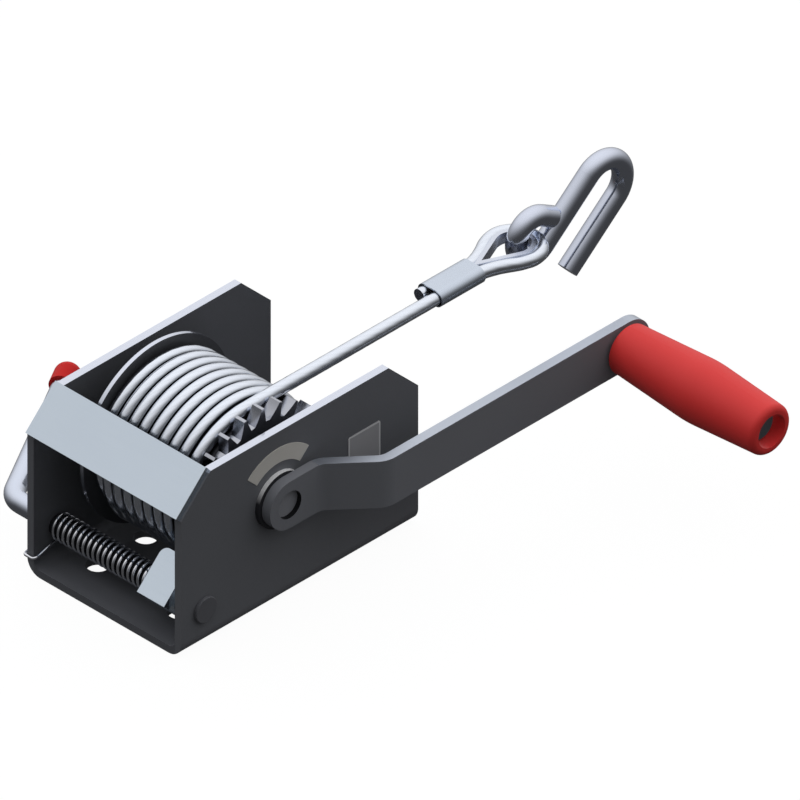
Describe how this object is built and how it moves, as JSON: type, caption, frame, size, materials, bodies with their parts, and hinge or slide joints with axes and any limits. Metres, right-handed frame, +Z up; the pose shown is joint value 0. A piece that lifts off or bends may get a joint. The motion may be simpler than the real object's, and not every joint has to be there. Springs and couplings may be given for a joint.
{
  "type": "hand winch",
  "caption": "Hand-cranked towing winch: bent plate frame, rope drum with a toothed wheel, spring-loaded pawl with release lever, wire rope with a thimble eye and an open hook.",
  "frame": {"origin": "middle of the base plate's underside", "axes": "+X along the drum towards the crank, +Y along the frame towards the pull, +Z up"},
  "size_m": [0.2847, 0.3064, 0.1197],
  "materials": {
    "frame_paint": "charcoal satin paint on steel plate",
    "zinc_plate": "bright zinc-plated steel",
    "dark_steel": "dark oiled steel",
    "wire_rope": "galvanised wire rope",
    "ferrule_metal": "pressed aluminium",
    "hook_chrome": "bright plated steel rod",
    "red_plastic": "red moulded plastic",
    "bronze": "plain bearing bronze",
    "spring_wire": "spring steel wire"
  },
  "bodies": {
    "frame": {"frame": "frame_paint", "tie_plate": "zinc_plate", "left_bush": "bronze", "right_bush": "bronze", "shaft_washer": "zinc_plate", "crank_washer": "zinc_plate", "rope_coil": "wire_rope", "rope_run": "wire_rope", "rope_eye": "wire_rope", "ferrule": "ferrule_metal", "thimble": "zinc_plate", "pawl_spring": "spring_wire"},
    "drum": {"drum_shaft": "zinc_plate", "shaft_ring": "dark_steel", "drum_barrel": "dark_steel", "left_spacer": "dark_steel", "right_spacer": "dark_steel", "drum_flange": "dark_steel", "ratchet_wheel": "dark_steel", "rope_core": "wire_rope", "rope_tail": "wire_rope", "rope_clamp": "zinc_plate", "clamp_screws": "zinc_plate", "crank_arm": "frame_paint", "grip_axle": "zinc_plate", "grip_washer": "zinc_plate", "grip_nut": "zinc_plate"},
    "grip": {"grip": "red_plastic"},
    "pawl": {"pawl_shaft": "hook_chrome", "lever_cap": "red_plastic", "pawl_cap": "dark_steel", "pawl_ring": "dark_steel", "pawl_spacer": "dark_steel", "pawl": "zinc_plate", "pawl_pin": "dark_steel"},
    "hook": {"hook": "hook_chrome"}
  },
  "joints": [
    {"name": "drum_turn", "type": "hinge", "parent": "frame", "child": "drum", "pos_m": [0, -0.0135, 0.0573], "axis": [1, 0, 0], "continuous": true},
    {"name": "grip_spin", "type": "hinge", "parent": "drum", "child": "grip", "pos_m": [0.1212, 0.1765, 0.0573], "axis": [1, 0, 0], "continuous": true},
    {"name": "pawl_release", "type": "hinge", "parent": "frame", "child": "pawl", "pos_m": [0, -0.0596, 0.0205], "axis": [-1, 0, 0], "range_deg": [0, 13], "stiffness_Nm_per_rad": 0.25, "springref_deg": -34.38, "deforming": ["pawl_spring"]},
    {"name": "hook_swing", "type": "hinge", "parent": "frame", "child": "hook", "pos_m": [0.0244, 0.16886, 0.0957], "axis": [1, 0, 0], "range_deg": [-110, 130]}
  ]
}
